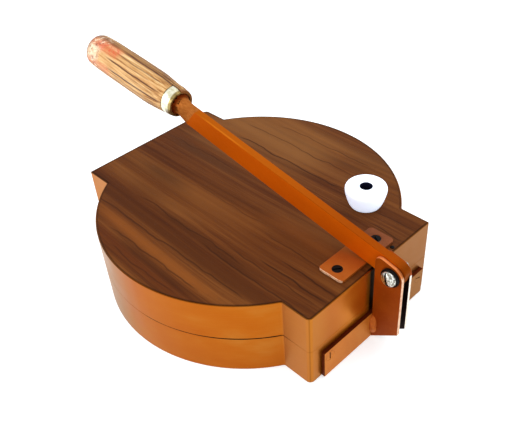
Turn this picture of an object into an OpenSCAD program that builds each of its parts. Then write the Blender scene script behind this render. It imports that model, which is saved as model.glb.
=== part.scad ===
// Tortilla press: two hardwood boards with copper bands, hinged at the back,
// and a lever bar in a welded clevis at the front that presses the lid down.
// X runs to the right, Y to the hinges and Z up. The origin is the centre of the round
// pressing area, on the underside of the base. The lever is down, as the press is stored.

/* [Boards] */
// Diameter of the round pressing area
disc_d = 250; // [200:1:320]
// Width of the straight body that crosses the round area
body_w = 136.6; // [120:0.2:160]
// How far each end of the body stands out past the round area
nose_out = 5.7; // [4:0.1:30]
// Radius of a board's two rounded corners
corner_r = 2.9; // [1:0.1:8]
// Radius of a board's two sharp corners
sharp_r = 0.2; // [0.1:0.1:2]
// Radius of the inner corners, where the body meets the round area
notch_r = 2; // [1:0.5:8]
// Thickness of the base board
base_t = 33.7; // [30:0.1:50]
// Thickness of the lid board
lid_t = 33.7; // [30:0.1:50]
// Gap between the closed boards
seam_gap = 0.3; // [0.3:0.1:2]

/* [Copper bands] */
// Thickness of the copper sheet
band_t = 1; // [0.6:0.1:1.6]
// How far the sheet's edges stay back from the faces of its board
band_in = 0.3; // [0.1:0.1:2]
// Gap between a board's edge and its band
band_fit = 0.05; // [0.02:0.01:0.2]

/* [Clevis] */
// Sideways place of the lever and the clevis that holds it
clevis_x = 2.6; // [-10:0.1:10]
// Length of the strap
strap_l = 118.2; // [80:0.2:124]
// Height of the strap
strap_h = 25.4; // [24:0.2:30]
// Thickness of the strap
strap_t = 3.2; // [2:0.1:5]
// Height of the strap's lower edge over the table
strap_z = 0.5; // [0.3:0.1:3]
// Width of an ear, from the strap to its front edge
ear_w = 23.4; // [21:0.2:30]
// Thickness of an ear
ear_t = 2.6; // [2:0.1:5]
// Radius of an ear's front, round the pivot
ear_r = 9.3; // [8:0.1:11]
// Height of an ear's back corner over the pivot
ear_peak = 11.6; // [10:0.1:16]
// Radius of an ear's back corner
ear_back_r = 5; // [2:0.5:7]
// Height of the front lower corner of an ear over the table
ear_toe_z = 18.5; // [5:0.5:30]
// Height of the pivot over the lid's top
pivot_up = 4.9; // [4:0.1:8]
// Radius of the weld beads beside the ears
weld_r = 5.6; // [4:0.1:7]
// How deep the centre of a weld bead lies behind the ear's outer face
weld_in = 2.2; // [1:0.1:3]
// Length of a weld bead
weld_l = 18; // [8:0.5:24]

/* [Pivot bolt] */
// Radius of the bolt's shank
bolt_r = 3.2; // [2.5:0.1:4.5]
// Radius of the bolt's round head
head_r = 6.9; // [6:0.1:8]
// Height of the rim of the bolt's head
head_rim = 1.2; // [0.6:0.1:2]
// Height of the dome on the bolt's head
head_h = 2.8; // [2:0.1:5]
// Radius of both washers
washer_r = 7.5; // [6.5:0.1:9]
// Thickness of the black washer under the head
washer_t = 2; // [1:0.1:3]
// Thickness of the washer under the nut
nut_washer_t = 1; // [0.8:0.1:3]
// Width of the nut across its flats
nut_af = 10; // [10:0.1:14]
// Height of the nut
nut_h = 2.5; // [2:0.1:8]
// How far the bolt stands out of the nut
bolt_end = 0.8; // [0.5:0.1:6]
// Running gap round the bolt in the lever and the ears
bolt_fit = 0.05; // [0.02:0.01:0.09]

/* [Lever bar] */
// Thickness of the bar
bar_t = 6; // [4:0.2:8]
// Height of the bar
bar_h = 18.4; // [14:0.2:19]
// How far the bar's middle lies over its pivot hole
bar_up = 2.2; // [0:0.1:3]
// Length of the flat bar, from the pivot to the neck
bar_l = 219; // [180:1:240]
// Length of the bar in front of the pivot
bar_end = 8.6; // [8:0.1:10]
// Radius of the corners at the bar's front end
bar_corner_r = 5.5; // [2:0.1:6.5]
// Gap between the bar and each ear
bar_side = 0.2; // [0.1:0.05:0.5]
// Gap between the bar and the wear plate that it rests on
bar_rest = 0.05; // [0.02:0.01:0.3]
// Length of the neck, from the flat bar to the ferrule's mouth
neck_l = 13.4; // [10:0.2:30]
// Radius of the neck where it enters the ferrule
neck_r = 9.4; // [8:0.1:10]
// Radius of the tang inside the grip
tang_r = 4; // [3:0.1:5]
// Length of the tang past the neck
tang_l = 80; // [40:1:100]

/* [Grip and ferrule] */
// How far the grip's axis lies over the bar's middle at the ferrule's back edge
grip_rise = 2.3; // [0:0.1:5]
// Turn of the grip's axis down from the bar's axis, in degrees
grip_tilt = 3.9; // [0:0.1:6]
// Length of the grip behind the ferrule
grip_l = 112.4; // [100:0.2:140]
// Radius of the grip where the ferrule ends
grip_r0 = 13.6; // [13.2:0.1:15]
// Largest radius of the grip
grip_r = 15.9; // [15:0.1:19]
// Length of the grip's rounded end
dome_l = 8; // [5:0.2:16]
// How much narrower the grip is where its rounded end starts
dome_in = 0.8; // [0.2:0.1:2]
// Length of the ferrule
ferrule_l = 10.6; // [8:0.2:20]
// Outer radius of the ferrule at the grip
ferrule_r = 12.9; // [12.6:0.1:13]
// Outer radius of the ferrule at its mouth
mouth_r = 11.6; // [11.4:0.1:12.4]
// Wall of the ferrule
ferrule_t = 1; // [0.8:0.1:1.3]
// Width of the wood that was left over the ferrule, as an angle in degrees
tongue_a = 115; // [60:5:180]
// Gap round the tang and the ferrule in the grip
grip_fit = 0.05; // [0.02:0.01:0.2]

/* [Wear plate] */
// Length of the plate across the lid
wear_l = 60.4; // [50:0.2:80]
// Width of the plate along the lever
wear_w = 22.5; // [18:0.5:30]
// Thickness of the plate
wear_t = 2.4; // [1.5:0.1:3]
// How far the plate's front edge stays back from the front face
wear_in = 6.2; // [4:0.1:8]
// Radius of the plate's corners
wear_r = 3; // [1:0.5:6]
// Distance between the plate's two screws
wear_pitch = 43.8; // [36:0.2:46]

/* [Knob] */
// Place of the knob to the right of the middle
knob_x = 54; // [40:0.5:60]
// Distance of the knob's middle from the front face
knob_in = 50.7; // [40:0.1:70]
// Height of the knob
knob_h = 18.2; // [12:0.2:30]
// Radius of the knob's rounded rim
knob_rim_r = 1.8; // [0.5:0.1:4]
// Largest radius of the knob
knob_r = 16.7; // [14:0.1:20]
// Radius of the knob's foot
knob_foot_r = 12; // [9:0.1:14]
// Radius of the screw well in the knob
knob_well_r = 4.4; // [4.2:0.1:6]
// Height of the well's floor over the lid
knob_floor = 5; // [3:0.5:8]

/* [Hinges] */
// Distance between the middles of the two hinges
hinge_pitch = 70; // [60:1:76]
// Length of a hinge
hinge_l = 50; // [40:1:54]
// Height of a hinge's leaf
leaf_h = 24; // [20:0.5:28]
// Thickness of a leaf
leaf_t = 2; // [1.2:0.1:2.6]
// Outer radius of the hinge's barrel
barrel_r = 3.8; // [3.4:0.1:5]
// Radius of the hinge's pin
pin_r = 2; // [1.5:0.1:2.4]
// Running gap round the pin
pin_fit = 0.05; // [0.02:0.01:0.09]
// Gap between two knuckles, and between the barrel and the boards
knuckle_gap = 0.3; // [0.2:0.05:0.6]

/* [Screws] */
// Radius of the shank of the wood screws
screw_r = 1.9; // [1.5:0.1:2.4]
// Radius of the heads in the wear plate and the strap
screw_head_r = 4.2; // [3.4:0.1:4.6]
// Radius of the heads in the hinges
hinge_head_r = 3.4; // [3:0.1:3.8]
// Length of the screws in the strap and the hinges
screw_l = 24; // [14:1:30]
// Length of the screws in the lid's top
lid_screw_l = 20; // [12:1:26]
// Gap round a screw in its hole
screw_fit = 0.03; // [0.02:0.01:0.1]
// Depth of a screw head below the face round it
screw_sunk = 0.2; // [0.1:0.05:0.5]
// Width of the slot in a screw head
slot_w = 1.2; // [0.8:0.1:1.6]
// Depth of the slot in a screw head
slot_depth = 1.2; // [0.6:0.1:1.6]

/* [Hidden] */
$fn = 96;

// Overshoot of a cut past the face that it opens
cut = 1;

// Faces of the closed press
body_l = disc_d + 2 * nose_out;
front_y = -body_l / 2;
back_y = body_l / 2;
lid_z = base_t + seam_gap;
top_z = lid_z + lid_t;

// Knob, held to the front face
knob_y = front_y + knob_in;

// Clevis and pivot
strap_y = front_y - strap_t;
strap_top_z = strap_z + strap_h;
strap_screw_x = strap_l / 2 - 6;
strap_screw_z = strap_z + strap_h * 0.75;
ear_y = strap_y - ear_w;
ear_inner = bar_t / 2 + bar_side;
ear_outer = ear_inner + ear_t;
pivot_y = ear_y + ear_r;
pivot_z = top_z + pivot_up;

// The bar leans on the front upper edge of the wear plate
rest_y = front_y + wear_in - pivot_y;
rest_z = top_z + wear_t - pivot_z;
bar_low = bar_h / 2 - bar_up;
lever_a = atan2(rest_z, rest_y) + asin((bar_low + bar_rest) / norm([rest_y, rest_z]));

// Grip, from the ferrule's back edge
grip_y = bar_l + neck_l + ferrule_l;
spigot_r = mouth_r - ferrule_t - grip_fit;
spigot_l = ferrule_l * 0.6;
tongue_l = ferrule_l - 0.6;
tongue_mid_a = 26;
// Distance from the ferrule's back edge at which it starts to narrow
ferrule_step = ferrule_l * 0.45;
tongue_in_r = mouth_r + grip_fit
    + (ferrule_r - mouth_r) * (ferrule_l - tongue_l) / (ferrule_l - ferrule_step);
barrel_start = grip_l * 0.27;

// Hinge
hinge_y = back_y + barrel_r + knuckle_gap;
hinge_z = base_t + seam_gap / 2;
knuckles = 5;
knuckle_l = hinge_l / knuckles;
leaf_screw_pitch = hinge_l * 0.34;
leaf_screw_z = leaf_h * 0.6;

// Outline of a board or band, drawn back by inset from the outside of the bands.
// The front left and back right corners are rounded, the other two sharp.
module outline(inset) {
    skin = band_t + band_fit - inset;
    half_w = body_w / 2 - inset;
    half_l = body_l / 2 - inset;
    round_r = disc_d / 2 - inset;
    fillet_x = body_w / 2 + notch_r;
    fillet_y = sqrt(pow(disc_d / 2 + notch_r, 2) - pow(fillet_x, 2));
    touch = round_r / (disc_d / 2 + notch_r);
    circle(r = round_r);
    for (sx = [-1, 1], sy = [-1, 1]) {
        r = skin + (sx == sy ? corner_r : sharp_r);
        translate([sx * (half_w - r), sy * (half_l - r)]) circle(r = r);
        polygon([
            [0, 0],
            [sx * half_w, 0],
            [sx * half_w, sy * (half_l - r)],
            [sx * (half_w - r), sy * (half_l - r)],
            [sx * (half_w - r), sy * half_l],
            [0, sy * half_l]
        ]);
        difference() {
            polygon([
                [sx * (half_w - cut), sy * fillet_y],
                [sx * fillet_x, sy * fillet_y],
                [sx * fillet_x * touch, sy * fillet_y * touch],
                [sx * (half_w - cut), sy * (fillet_y * touch - cut)]
            ]);
            translate([sx * fillet_x, sy * fillet_y]) circle(r = notch_r + inset);
        }
    }
}

// One board, with its underside at z
module board(z, t) {
    translate([0, 0, z]) linear_extrude(t) outline(band_t + band_fit);
}

// One band of sheet, round the board with its underside at z
module band(z, t) {
    translate([0, 0, z + band_in])
        linear_extrude(t - 2 * band_in)
            difference() {
                outline(0);
                outline(band_t);
            }
}

// Countersunk screw, its head's face at the origin and its point down
module screw(head, length) {
    cone = head - screw_r;
    difference() {
        union() {
            translate([0, 0, -cone]) cylinder(r1 = screw_r, r2 = head, h = cone);
            translate([0, 0, -length]) cylinder(r = screw_r, h = length - cone / 2);
            translate([0, 0, -length - screw_r]) cylinder(r1 = 0.4, r2 = screw_r, h = screw_r);
        }
        translate([-slot_w / 2, -head, -slot_depth]) cube([slot_w, 2 * head, slot_depth + cut]);
    }
}

// Hole for such a screw, open upwards
module screw_hole(head, length) {
    cone = head - screw_r;
    r = screw_r + screw_fit;
    translate([0, 0, -cone]) cylinder(r1 = r, r2 = r + cone, h = cone);
    translate([0, 0, -length - 2 * screw_r]) cylinder(r = r, h = length + 2 * screw_r - cone / 2);
    cylinder(r = r + cone, h = screw_sunk + cut);
}

// Places of the screws through the strap
module at_strap_screws() {
    for (sx = [-1, 1])
        translate([clevis_x + sx * strap_screw_x, strap_y + screw_sunk, strap_screw_z])
            rotate([90, 0, 0]) children();
}

// Places of the screws in the wear plate
module at_wear_screws() {
    for (sx = [-1, 1])
        translate([
            clevis_x + sx * wear_pitch / 2,
            front_y + wear_in + wear_w / 2,
            top_z + wear_t - screw_sunk
        ]) children();
}

// Places of the screws in the base leaves (side = -1) or the lid leaves (side = 1)
module at_hinge_screws(side) {
    for (sx = [-1, 1], i = [-1, 0, 1])
        translate([
            sx * hinge_pitch / 2 + i * leaf_screw_pitch,
            back_y + leaf_t - screw_sunk,
            hinge_z + side * leaf_screw_z
        ]) rotate([-90, 0, 0]) children();
}

// Frame of the lever: the bar runs along Y from the pivot
module in_lever() {
    translate([clevis_x, pivot_y, pivot_z]) rotate([lever_a, 0, 0]) children();
}

// Frame of the grip: its axis is Z, which starts at the ferrule's back edge
module in_grip() {
    in_lever()
        translate([0, grip_y, bar_up + grip_rise])
            rotate([-90 - grip_tilt, 0, 0]) children();
}

module base_board() {
    color("saddlebrown") difference() {
        board(0, base_t);
        at_strap_screws() screw_hole(screw_head_r, screw_l);
        at_hinge_screws(-1) screw_hole(hinge_head_r, screw_l);
    }
}

module base_band() {
    color("peru") difference() {
        band(0, base_t);
        at_strap_screws() screw_hole(screw_head_r, screw_l);
        at_hinge_screws(-1) screw_hole(hinge_head_r, screw_l);
    }
}

module clevis_strap() {
    color("chocolate") difference() {
        translate([clevis_x - strap_l / 2, strap_y, strap_z]) cube([strap_l, strap_t, strap_h]);
        at_strap_screws() screw_hole(screw_head_r, screw_l);
    }
}

// One ear, side = -1 on the left and 1 on the right of the bar.
// Its top slopes in a straight line from its back corner to its front round.
module clevis_ear(side) {
    x = clevis_x + (side < 0 ? -ear_outer : ear_inner);
    front_c = [pivot_y, pivot_z];
    back_c = [strap_y - ear_back_r, pivot_z + ear_peak - ear_back_r];
    run = back_c - front_c;
    a = atan2(run[1], run[0]) + acos((ear_r - ear_back_r) / norm(run));
    out = [cos(a), sin(a)];
    color("sienna") translate([x, 0, 0]) difference() {
        rotate([90, 0, 90]) linear_extrude(ear_t) {
            polygon([
                [strap_y, strap_z],
                [strap_y, back_c[1]],
                back_c,
                back_c + ear_back_r * out,
                front_c + ear_r * out,
                front_c,
                [ear_y, pivot_z],
                [ear_y, ear_toe_z]
            ]);
            translate(front_c) circle(r = ear_r);
            translate(back_c) circle(r = ear_back_r);
        }
        translate([-cut, pivot_y, pivot_z]) rotate([0, 90, 0])
            cylinder(r = bolt_r + bolt_fit, h = ear_t + 2 * cut);
    }
}

// A bead in the corner between the strap and the outside of each ear
module clevis_welds() {
    color("peru")
        for (side = [-1, 1])
            translate([
                clevis_x + side * ear_outer,
                strap_y,
                strap_z + strap_h - weld_l
            ])
                linear_extrude(weld_l)
                    intersection() {
                        translate([-side * weld_in, 0]) circle(r = weld_r);
                        translate([side > 0 ? 0 : -2 * weld_r, -2 * weld_r])
                            square([2 * weld_r, 2 * weld_r]);
                    }
}

module strap_screws() {
    color("chocolate") at_strap_screws() screw(screw_head_r, screw_l);
}

// Bolt with a round slotted head on the left
module pivot_bolt() {
    head_x = -ear_outer - washer_t;
    end_x = ear_outer + nut_washer_t + nut_h + bolt_end;
    dome_r = (head_r * head_r + head_h * head_h) / (2 * head_h);
    color("gainsboro") translate([clevis_x, pivot_y, pivot_z]) difference() {
        union() {
            translate([head_x - cut / 2, 0, 0]) rotate([0, 90, 0])
                cylinder(r = bolt_r, h = end_x - head_x + cut / 2);
            translate([head_x, 0, 0]) rotate([0, -90, 0])
                cylinder(r = head_r, h = head_rim);
            translate([head_x - head_rim, 0, 0]) rotate([0, -90, 0]) intersection() {
                translate([0, 0, head_h - dome_r]) sphere(r = dome_r);
                cylinder(r = head_r, h = head_h + cut);
            }
        }
        translate([head_x - head_rim - head_h - cut, -slot_w / 2, -head_r])
            cube([slot_depth + cut, slot_w, 2 * head_r]);
    }
}

// A washer on the bolt, from x to x + t
module washer(x, t) {
    translate([clevis_x + x, pivot_y, pivot_z]) rotate([0, 90, 0]) difference() {
        cylinder(r = washer_r, h = t);
        translate([0, 0, -cut]) cylinder(r = bolt_r + bolt_fit, h = t + 2 * cut);
    }
}

module head_washer() {
    color("dimgray") washer(-ear_outer - washer_t, washer_t);
}

module nut_washer() {
    color("silver") washer(ear_outer, nut_washer_t);
}

module pivot_nut() {
    color("silver")
        translate([clevis_x + ear_outer + nut_washer_t, pivot_y, pivot_z])
            rotate([0, 90, 0]) difference() {
                cylinder(d = nut_af / cos(30), h = nut_h, $fn = 6);
                translate([0, 0, -cut]) cylinder(r = bolt_r + bolt_fit, h = nut_h + 2 * cut);
            }
}

// One leaf of a hinge at x, side = -1 down the base or 1 up the lid.
// The base leaf carries the odd knuckles and the lid leaf the even ones.
module hinge_leaf(x, side) {
    bore_r = pin_r + pin_fit;
    mine = side < 0 ? 0 : 1;
    notch = barrel_r + knuckle_gap;
    color("darkgoldenrod") difference() {
        union() {
            translate([x - hinge_l / 2, back_y, hinge_z + (side < 0 ? -leaf_h : notch)])
                cube([hinge_l, leaf_t, leaf_h - notch]);
            for (i = [0 : knuckles - 1])
                if (i % 2 == mine) translate([
                    x - hinge_l / 2 + i * knuckle_l + knuckle_gap / 2, 0, hinge_z
                ]) {
                    translate([0, hinge_y, 0]) rotate([0, 90, 0])
                        cylinder(r = barrel_r, h = knuckle_l - knuckle_gap);
                    translate([0, back_y, side < 0 ? -notch - cut : 0])
                        cube([knuckle_l - knuckle_gap, leaf_t, notch + cut]);
                }
        }
        translate([x - hinge_l / 2 - cut, hinge_y, hinge_z]) rotate([0, 90, 0])
            cylinder(r = bore_r, h = hinge_l + 2 * cut);
        at_hinge_screws(side) screw_hole(hinge_head_r, screw_l);
    }
}

module hinge_pin(x) {
    color("goldenrod")
        translate([x - hinge_l / 2, hinge_y, hinge_z]) rotate([0, 90, 0])
            cylinder(r = pin_r, h = hinge_l);
}

module hinge_base_screws() {
    color("goldenrod") at_hinge_screws(-1) screw(hinge_head_r, screw_l);
}

module hinge_lid_screws() {
    color("goldenrod") at_hinge_screws(1) screw(hinge_head_r, screw_l);
}

module lid_board() {
    color("saddlebrown") difference() {
        board(lid_z, lid_t);
        at_hinge_screws(1) screw_hole(hinge_head_r, screw_l);
        at_wear_screws() screw_hole(screw_head_r, lid_screw_l);
        translate([knob_x, knob_y, top_z - lid_screw_l])
            cylinder(r = screw_r + screw_fit, h = lid_screw_l + cut);
    }
}

module lid_band() {
    color("peru") difference() {
        band(lid_z, lid_t);
        at_hinge_screws(1) screw_hole(hinge_head_r, screw_l);
    }
}

module wear_plate() {
    half_l = wear_l / 2 - wear_r;
    half_w = wear_w / 2 - wear_r;
    color("chocolate") difference() {
        translate([clevis_x, front_y + wear_in + wear_w / 2, top_z]) linear_extrude(wear_t) {
            square([wear_l, 2 * half_w], center = true);
            square([2 * half_l, wear_w], center = true);
            for (sx = [-1, 1], sy = [-1, 1])
                translate([sx * half_l, sy * half_w]) circle(r = wear_r);
        }
        at_wear_screws() screw_hole(screw_head_r, lid_screw_l);
    }
}

module wear_plate_screws() {
    color("black") at_wear_screws() screw(screw_head_r, lid_screw_l);
}

// Low round knob that widens from its foot to a rounded rim
module lid_knob() {
    steps = 8;
    rim = [for (i = [0 : steps])
        [knob_r, knob_h] + knob_rim_r * [cos(90 * i / steps) - 1, sin(90 * i / steps) - 1]];
    color("white") translate([knob_x, knob_y, top_z]) difference() {
        rotate_extrude() polygon(concat([[0, 0], [knob_foot_r, 0]], rim, [[0, knob_h]]));
        translate([0, 0, knob_floor]) cylinder(r = knob_well_r, h = knob_h);
        translate([0, 0, -cut]) cylinder(r = screw_r + screw_fit, h = knob_h);
    }
}

// Round-headed screw down the knob's well
module knob_screw() {
    pan_r = knob_well_r - 0.3;
    pan_h = 2.6;
    depth = lid_screw_l - 1;
    color("dimgray") translate([knob_x, knob_y, top_z]) difference() {
        union() {
            translate([0, 0, knob_floor]) cylinder(r = pan_r, h = pan_h);
            translate([0, 0, -depth]) cylinder(r = screw_r, h = depth + knob_floor + cut);
        }
        translate([-slot_w / 2, -pan_r - cut, knob_floor + pan_h - slot_depth])
            cube([slot_w, 2 * (pan_r + cut), slot_depth + cut]);
    }
}

// Flat bar with a round end at the pivot, a neck that turns round, and a tang
module lever_bar() {
    slab = 0.5;
    color("darkorange") {
        in_lever() {
            difference() {
                rotate([90, 0, 90]) translate([0, bar_up, -bar_t / 2]) linear_extrude(bar_t) {
                    for (side = [-1, 1])
                        translate([bar_corner_r - bar_end, side * (bar_h / 2 - bar_corner_r)])
                            circle(r = bar_corner_r);
                    translate([-bar_end, bar_corner_r - bar_h / 2])
                        square([bar_l + bar_end, bar_h - 2 * bar_corner_r]);
                    translate([bar_corner_r - bar_end, -bar_h / 2])
                        square([bar_l + bar_end - bar_corner_r, bar_h]);
                }
                translate([-bar_t, 0, 0]) rotate([0, 90, 0])
                    cylinder(r = bolt_r + bolt_fit, h = 2 * bar_t);
            }
            hull() {
                translate([-bar_t / 2, bar_l - slab, bar_up - bar_h / 2])
                    cube([bar_t, slab, bar_h]);
                translate([0, grip_y, bar_up + grip_rise]) rotate([-90 - grip_tilt, 0, 0])
                    translate([0, 0, -ferrule_l])
                        cylinder(r = neck_r, h = slab, $fn = 32);
            }
        }
        in_grip() translate([0, 0, -ferrule_l]) cylinder(r = tang_r, h = tang_l);
    }
}

// Tube that narrows to a turned-in mouth
module ferrule() {
    lip_r = neck_r + 0.4;
    bore_r = spigot_r + grip_fit;
    color("palegoldenrod") in_grip() rotate_extrude() polygon([
        [lip_r, -ferrule_l],
        [mouth_r, -ferrule_l],
        [ferrule_r, -ferrule_step],
        [ferrule_r, 0],
        [bore_r, 0],
        [bore_r, ferrule_t - ferrule_l],
        [lip_r, ferrule_t - ferrule_l]
    ]);
}

// Turned grip: a spigot in the ferrule, a swelling body and a blunt rounded end.
// A tongue of wood runs on over the right side of the ferrule.
module handle_grip() {
    steps = 12;
    dome_start = grip_l - dome_l;
    dome_r = grip_r - dome_in;
    swell = [for (i = [0 : steps])
        [grip_r0 + (grip_r - grip_r0) * sin(90 * i / steps), barrel_start * i / steps]];
    dome = [for (i = [0 : steps])
        [dome_r * cos(90 * i / steps), dome_start + dome_l * sin(90 * i / steps)]];
    color("burlywood") in_grip() {
        difference() {
            rotate_extrude() polygon(concat(
                [[0, -spigot_l], [spigot_r, -spigot_l], [spigot_r, 0]], swell,
                [[grip_r, dome_start - 2 * dome_l]], dome
            ));
            translate([0, 0, -ferrule_l]) cylinder(r = tang_r + grip_fit, h = tang_l + 1);
        }
        intersection() {
            rotate_extrude() polygon([
                [tongue_in_r, -tongue_l],
                [tongue_in_r + 0.7, -tongue_l],
                [grip_r0, -ferrule_step],
                [grip_r0, cut],
                [ferrule_r + grip_fit, cut],
                [ferrule_r + grip_fit, -ferrule_step]
            ]);
            translate([0, 0, -2 * ferrule_l]) rotate([0, 0, -tongue_mid_a])
                linear_extrude(3 * ferrule_l) polygon([
                    [0, 0],
                    3 * grip_r * [cos(tongue_a / 2), sin(tongue_a / 2)],
                    3 * grip_r * [1, 0],
                    3 * grip_r * [cos(tongue_a / 2), -sin(tongue_a / 2)]
                ]);
        }
    }
}

base_board();
base_band();
clevis_strap();
clevis_ear(-1);  // clevis_ear_left
clevis_ear(1);  // clevis_ear_right
clevis_welds();
strap_screws();
pivot_bolt();
head_washer();
nut_washer();
pivot_nut();
hinge_leaf(-hinge_pitch / 2, -1);  // hinge_base_leaf_left
hinge_leaf(hinge_pitch / 2, -1);  // hinge_base_leaf_right
hinge_pin(-hinge_pitch / 2);  // hinge_pin_left
hinge_pin(hinge_pitch / 2);  // hinge_pin_right
hinge_base_screws();
lid_board();
lid_band();
wear_plate();
wear_plate_screws();
lid_knob();
knob_screw();
hinge_leaf(-hinge_pitch / 2, 1);  // hinge_lid_leaf_left
hinge_leaf(hinge_pitch / 2, 1);  // hinge_lid_leaf_right
hinge_lid_screws();
lever_bar();
ferrule();
handle_grip();
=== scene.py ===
import bmesh
import bpy
import math
from mathutils import Euler, Matrix, Vector


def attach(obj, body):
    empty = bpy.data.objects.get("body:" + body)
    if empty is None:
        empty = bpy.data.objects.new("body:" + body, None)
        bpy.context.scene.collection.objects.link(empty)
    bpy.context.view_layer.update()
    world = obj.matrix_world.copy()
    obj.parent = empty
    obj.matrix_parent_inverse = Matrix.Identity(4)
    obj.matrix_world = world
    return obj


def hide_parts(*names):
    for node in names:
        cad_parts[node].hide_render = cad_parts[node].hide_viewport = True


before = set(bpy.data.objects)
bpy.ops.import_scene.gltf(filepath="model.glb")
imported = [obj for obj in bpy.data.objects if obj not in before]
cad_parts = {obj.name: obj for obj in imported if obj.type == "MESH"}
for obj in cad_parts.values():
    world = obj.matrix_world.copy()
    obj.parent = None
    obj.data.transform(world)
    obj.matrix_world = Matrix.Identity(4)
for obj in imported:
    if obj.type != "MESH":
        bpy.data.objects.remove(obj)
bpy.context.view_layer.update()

# Lengths are written in millimetres, as in the part's source
MM = 0.001
DISC_R, HALF_W, HALF_L = 125.0, 68.3, 130.7
LID_TOP = 67.7
CLEVIS_X = 2.6
STRAP_FACE = -133.9
PIVOT = Vector((CLEVIS_X, -148.0, 72.6))
LEVER_TURN = math.radians(11.284)
GRIP_TILT = math.radians(3.9)

LEVER = Matrix.Translation(PIVOT * MM) @ Matrix.Rotation(LEVER_TURN, 4, "X")
GRIP = (
    LEVER
    @ Matrix.Translation(Vector((0, 243.0, 4.5)) * MM)
    @ Matrix.Rotation(-math.radians(90) - GRIP_TILT, 4, "X")
)


# Workshop: how a piece is started, shaped and finished


def put_down():
    if bpy.context.mode != "OBJECT":
        bpy.ops.object.mode_set(mode="OBJECT")
    bpy.ops.object.select_all(action="DESELECT")


def take(part):
    put_down()
    part.select_set(True)
    bpy.context.view_layer.objects.active = part
    return part


def work_on(part):
    take(part)
    bpy.ops.object.mode_set(mode="EDIT")


def settle(part, place=None):
    """Leaves the place in the mesh, and the object at the origin."""
    take(part)
    if place is not None:
        part.matrix_world = place @ part.matrix_world
    bpy.ops.object.transform_apply(location=True, rotation=True, scale=True)
    return part


def started(name):
    part = bpy.context.object
    part.name = part.data.name = name
    return settle(part)


def block(name, low, high):
    put_down()
    low, high = Vector(low) * MM, Vector(high) * MM
    bpy.ops.mesh.primitive_cube_add(size=1, location=(low + high) / 2, scale=high - low)
    return started(name)


def rod(name, radius, start, end, sides=64, end_radius=None):
    put_down()
    start, end = Vector(start) * MM, Vector(end) * MM
    bpy.ops.mesh.primitive_cone_add(
        vertices=sides,
        radius1=radius * MM,
        radius2=(radius if end_radius is None else end_radius) * MM,
        depth=(end - start).length,
        location=(start + end) / 2,
        rotation=(end - start).to_track_quat("Z", "Y").to_euler(),
    )
    return started(name)


def ball(name, centre, size, turns=32, rings=20):
    put_down()
    bpy.ops.mesh.primitive_uv_sphere_add(
        segments=turns, ring_count=rings, radius=1, location=Vector(centre) * MM, scale=Vector(size) * MM
    )
    return started(name)


def pick(part, kind, test):
    """Selects the faces, edges or points whose middle, in mm, and direction pass the test."""
    bpy.ops.mesh.select_mode(type=kind)
    bpy.ops.mesh.select_all(action="DESELECT")
    mesh = bmesh.from_edit_mesh(part.data)
    if kind == "FACE":
        chosen = [f for f in mesh.faces if test(f.calc_center_median() / MM, f.normal)]
    elif kind == "EDGE":
        chosen = []
        for edge in mesh.edges:
            a, b = (v.co / MM for v in edge.verts)
            if test((a + b) / 2, (b - a).normalized()):
                chosen.append(edge)
    else:
        chosen = [v for v in mesh.verts if test(v.co / MM, v.normal)]
    for item in chosen:
        item.select_set(True)
    bmesh.update_edit_mesh(part.data)
    return len(chosen)


def round_off(radius, steps=6):
    """Rounds the edges that are selected in edit mode."""
    bpy.ops.mesh.bevel(offset=radius * MM, segments=steps, affect="EDGES", clamp_overlap=True)


def finish_with(part, kind, **settings):
    take(part)
    bpy.ops.object.modifier_add(type=kind)
    tool = part.modifiers[-1]
    for key, value in settings.items():
        setattr(tool, key, value)
    bpy.ops.object.modifier_apply(modifier=tool.name)
    return part


def soften(part, width, steps=2, angle=32):
    """Takes the sharpness off every edge that turns by more than the angle."""
    return finish_with(
        part, "BEVEL", width=width * MM, segments=steps, limit_method="ANGLE",
        angle_limit=math.radians(angle), use_clamp_overlap=True,
    )


def combine(part, tool, operation):
    finish_with(part, "BOOLEAN", operation=operation, object=tool, solver="EXACT")
    bpy.data.objects.remove(tool)
    return part


def drill(part, tool):
    return combine(part, tool, "DIFFERENCE")


def weld_to(part, other):
    return combine(part, other, "UNION")


def gather(name, parts):
    put_down()
    for part in parts:
        part.select_set(True)
    bpy.context.view_layer.objects.active = parts[0]
    if len(parts) > 1:
        bpy.ops.object.join()
    parts[0].name = parts[0].data.name = name
    return parts[0]


def copy_of(part, name, place):
    """A copy with its own mesh, moved by the place."""
    take(part)
    bpy.ops.object.duplicate(linked=False)
    twin = bpy.context.object
    twin.name = twin.data.name = name
    return settle(twin, place)


def set_of(name, first, places):
    """Puts the first piece and its copies at the places, and gathers them as one piece."""
    copies = [copy_of(first, f"{name}_{count}", place) for count, place in enumerate(places[1:], 2)]
    return gather(name, [settle(first, places[0])] + copies)


def clean(part):
    work_on(part)
    bpy.ops.mesh.select_all(action="SELECT")
    bpy.ops.mesh.remove_doubles(threshold=0.00001)
    bpy.ops.mesh.dissolve_degenerate(threshold=0.000005)
    bpy.ops.mesh.select_all(action="SELECT")
    bpy.ops.mesh.normals_make_consistent(inside=False)
    put_down()
    return part


def smooth(part, angle=35):
    take(part)
    bpy.ops.object.shade_smooth_by_angle(angle=math.radians(angle))
    return finish_with(part, "WEIGHTED_NORMAL", keep_sharp=True)


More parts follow.
